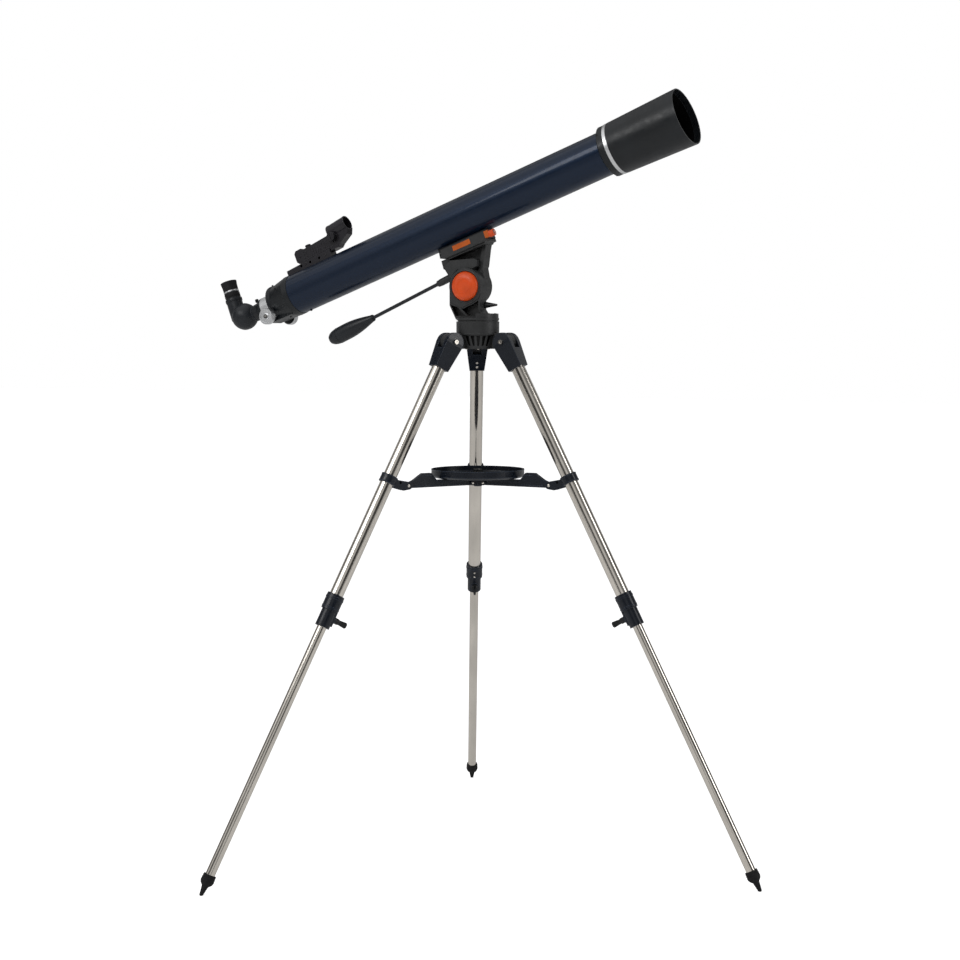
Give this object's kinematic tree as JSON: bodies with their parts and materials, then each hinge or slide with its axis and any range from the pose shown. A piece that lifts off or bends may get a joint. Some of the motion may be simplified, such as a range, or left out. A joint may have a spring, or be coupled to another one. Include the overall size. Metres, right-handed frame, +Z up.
{
  "type": "telescope on tripod",
  "caption": "Refractor telescope with dew shield, finder, focuser and diagonal on a panning, tilting head and a folding tripod with telescoping legs and an accessory tray.",
  "frame": {"origin": "on the ground under the pan axis", "axes": "+X the way the tube points at rest, +Z up"},
  "size_m": [1.4579, 1.2438, 1.7712],
  "materials": {
    "charcoal_plastic": "satin, fine grain",
    "black_plastic": "satin, fine grain",
    "blue_black_plastic": "satin, fine grain",
    "navy_paint": "deep metallic gloss",
    "black_paint": "satin",
    "orange_plastic": "satin gloss",
    "polished_steel": "polished",
    "satin_silver": "satin",
    "rubber": "matt",
    "coated_glass": "coated"
  },
  "bodies": {
    "hub_body": {"hub": "charcoal_plastic", "hub_bolts": "polished_steel", "azimuth_post": "polished_steel"},
    "leg_1": {"leg_socket_1": "blue_black_plastic", "upper_leg_tube_1": "polished_steel", "extension_collar_1": "blue_black_plastic", "brace_clip_1": "blue_black_plastic"},
    "lower_leg_1": {"lower_leg_tube_1": "polished_steel", "foot_1": "rubber"},
    "leg_lock_1": {"lock_knob_1": "black_plastic"},
    "arm_1": {"brace_arm_1": "blue_black_plastic"},
    "leg_2": {"leg_socket_2": "blue_black_plastic", "upper_leg_tube_2": "polished_steel", "extension_collar_2": "blue_black_plastic", "brace_clip_2": "blue_black_plastic"},
    "lower_leg_2": {"lower_leg_tube_2": "polished_steel", "foot_2": "rubber"},
    "leg_lock_2": {"lock_knob_2": "black_plastic"},
    "arm_2": {"brace_arm_2": "blue_black_plastic"},
    "leg_3": {"leg_socket_3": "blue_black_plastic", "upper_leg_tube_3": "polished_steel", "extension_collar_3": "blue_black_plastic", "brace_clip_3": "blue_black_plastic"},
    "lower_leg_3": {"lower_leg_tube_3": "polished_steel", "foot_3": "rubber"},
    "leg_lock_3": {"lock_knob_3": "black_plastic"},
    "arm_3": {"brace_arm_3": "blue_black_plastic"},
    "brace_body": {"brace_centre": "blue_black_plastic"},
    "tray_body": {"tray": "blue_black_plastic"},
    "tray_knob_body": {"tray_knob": "blue_black_plastic"},
    "fork_body": {"fork": "charcoal_plastic", "altitude_cap_right": "orange_plastic", "altitude_axle": "polished_steel"},
    "azimuth_lock_body": {"azimuth_lock": "black_plastic"},
    "cradle_body": {"cradle": "charcoal_plastic", "altitude_cap_left": "orange_plastic", "clamp_bar": "orange_plastic"},
    "clamp_knob_body": {"clamp_knob": "orange_plastic"},
    "handle_body": {"handle_rod": "black_paint", "handle_grip": "black_plastic"},
    "tube_body": {"main_tube": "navy_paint", "dovetail_bar": "black_paint", "lens_cell": "black_paint", "trim_ring": "satin_silver", "dew_shield": "black_paint", "objective_lens": "coated_glass", "focuser_housing": "black_plastic", "finder_bracket": "black_plastic", "finder_body": "black_plastic", "finder_tube": "black_plastic"},
    "drawtube_body": {"drawtube": "satin_silver", "visual_back": "black_paint"},
    "focus_body": {"focus_shaft": "polished_steel", "focus_knobs": "satin_silver"},
    "diagonal": {"diagonal_body": "black_plastic", "diagonal_prism": "coated_glass"},
    "eyepiece": {"eyepiece_body": "black_plastic", "eyepiece_cup": "rubber"},
    "finder_dial_body": {"finder_dial": "black_plastic"},
    "finder_adjuster_body": {"finder_adjuster": "black_plastic"}
  },
  "joints": [
    {"name": "leg_1_fold", "type": "hinge", "parent": "hub_body", "child": "leg_1", "pos_m": [0.075, 0, 1.215], "axis": [0, 1, 0], "range_deg": [0, 25]},
    {"name": "leg_1_length", "type": "slide", "parent": "leg_1", "child": "lower_leg_1", "axis": [-0.4658, 0, 0.8849], "range_m": [0, 0.5]},
    {"name": "leg_1_lock_turn", "type": "hinge", "parent": "leg_1", "child": "leg_lock_1", "pos_m": [0.4015, 0, 0.59468], "axis": [-0.8849, 0, -0.4658], "range_deg": [0, 180]},
    {"name": "leg_2_fold", "type": "hinge", "parent": "hub_body", "child": "leg_2", "pos_m": [-0.0375, 0.06495, 1.215], "axis": [-0.866, -0.5, 0], "range_deg": [0, 25]},
    {"name": "leg_2_length", "type": "slide", "parent": "leg_2", "child": "lower_leg_2", "axis": [0.2329, -0.4034, 0.8849], "range_m": [0, 0.5]},
    {"name": "leg_2_lock_turn", "type": "hinge", "parent": "leg_2", "child": "leg_lock_2", "pos_m": [-0.20075, 0.34771, 0.59468], "axis": [0.4425, -0.7664, -0.4658], "range_deg": [0, 180]},
    {"name": "leg_3_fold", "type": "hinge", "parent": "hub_body", "child": "leg_3", "pos_m": [-0.0375, -0.06495, 1.215], "axis": [0.866, -0.5, 0], "range_deg": [0, 25]},
    {"name": "leg_3_length", "type": "slide", "parent": "leg_3", "child": "lower_leg_3", "axis": [0.2329, 0.4034, 0.8849], "range_m": [0, 0.5]},
    {"name": "leg_3_lock_turn", "type": "hinge", "parent": "leg_3", "child": "leg_lock_3", "pos_m": [-0.20075, -0.34771, 0.59468], "axis": [0.4425, 0.7664, -0.4658], "range_deg": [0, 180]},
    {"name": "brace_rise", "type": "slide", "parent": "hub_body", "child": "brace_body", "axis": [0, 0, 1], "range_m": [0, 0.1537]},
    {"name": "arm_1_fold", "type": "hinge", "parent": "brace_body", "child": "arm_1", "pos_m": [0.018, 0, 0.884], "axis": [0, 1, 0], "range_deg": [0, 82.7]},
    {"name": "arm_2_fold", "type": "hinge", "parent": "brace_body", "child": "arm_2", "pos_m": [-0.009, 0.01559, 0.884], "axis": [-0.866, -0.5, 0], "range_deg": [0, 82.7]},
    {"name": "arm_3_fold", "type": "hinge", "parent": "brace_body", "child": "arm_3", "pos_m": [-0.009, -0.01559, 0.884], "axis": [0.866, -0.5, 0], "range_deg": [0, 82.7]},
    {"name": "tray_off", "type": "slide", "parent": "brace_body", "child": "tray_body", "axis": [0.4981, 0.8627, 0.0872], "range_m": [0, 0.755]},
    {"name": "tray_knob_turn", "type": "hinge", "parent": "tray_body", "child": "tray_knob_body", "pos_m": [0, 0, 0.908], "axis": [0, 0, 1], "range_deg": [0, 360]},
    {"name": "azimuth_pan", "type": "hinge", "parent": "hub_body", "child": "fork_body", "pos_m": [0, 0, 1.2634], "axis": [0, 0, 1], "continuous": true},
    {"name": "altitude_tilt", "type": "hinge", "parent": "fork_body", "child": "cradle_body", "pos_m": [-0.0185, 0, 1.345], "axis": [0, 1, 0], "range_deg": [-50, 35]},
    {"name": "azimuth_lock_turn", "type": "hinge", "parent": "fork_body", "child": "azimuth_lock_body", "pos_m": [0.023, 0, 1.3015], "axis": [1, 0, 0], "range_deg": [0, 180]},
    {"name": "handle_twist", "type": "hinge", "parent": "cradle_body", "child": "handle_body", "pos_m": [-0.11804, 0.017, 1.3523], "axis": [0.9173, 0, 0.3981], "range_deg": [0, 270]},
    {"name": "clamp_knob_turn", "type": "hinge", "parent": "cradle_body", "child": "clamp_knob_body", "pos_m": [0.04388, -0.0215, 1.46572], "axis": [0.9393, 0, 0.343], "range_deg": [0, 360]},
    {"name": "tube_balance", "type": "slide", "parent": "cradle_body", "child": "tube_body", "axis": [0.9393, 0, 0.343], "range_m": [-0.03, 0.004]},
    {"name": "focus_travel", "type": "slide", "parent": "tube_body", "child": "drawtube_body", "axis": [-0.9393, 0, -0.343], "range_m": [-0.02, 0.06]},
    {"name": "focus_turn", "type": "hinge", "parent": "tube_body", "child": "focus_body", "pos_m": [-0.56674, 0, 1.27788], "axis": [0, 1, 0], "range_deg": [-575, 195]},
    {"name": "diagonal_turn", "type": "hinge", "parent": "drawtube_body", "child": "diagonal", "pos_m": [-0.64816, 0, 1.28221], "axis": [0.9393, 0, 0.343], "range_deg": [-90, 90]},
    {"name": "eyepiece_slide", "type": "slide", "parent": "diagonal", "child": "eyepiece", "axis": [-0.343, 0, 0.9393], "range_m": [0, 0.04]},
    {"name": "finder_dial_turn", "type": "hinge", "parent": "tube_body", "child": "finder_dial_body", "pos_m": [-0.39684, -0.02, 1.47055], "axis": [0, -1, 0], "range_deg": [0, 270]},
    {"name": "finder_adjuster_turn", "type": "hinge", "parent": "tube_body", "child": "finder_adjuster_body", "pos_m": [-0.47698, 0, 1.44948], "axis": [-0.3917, 0, 0.9201], "range_deg": [-180, 180]}
  ],
  "couplings": [
    {"joint": "leg_2_fold", "follows": "leg_1_fold", "ratio": 1},
    {"joint": "leg_3_fold", "follows": "leg_1_fold", "ratio": 1},
    {"joint": "brace_rise", "follows": "leg_1_fold", "m_per_rad": 0.35192},
    {"joint": "arm_1_fold", "follows": "leg_1_fold", "ratio": 3.3045},
    {"joint": "arm_2_fold", "follows": "leg_1_fold", "ratio": 3.3045},
    {"joint": "arm_3_fold", "follows": "leg_1_fold", "ratio": 3.3045},
    {"joint": "tray_off", "follows": "leg_1_fold", "m_per_rad": 1.72},
    {"joint": "focus_turn", "follows": "focus_travel", "rad_per_m": -166.67}
  ]
}
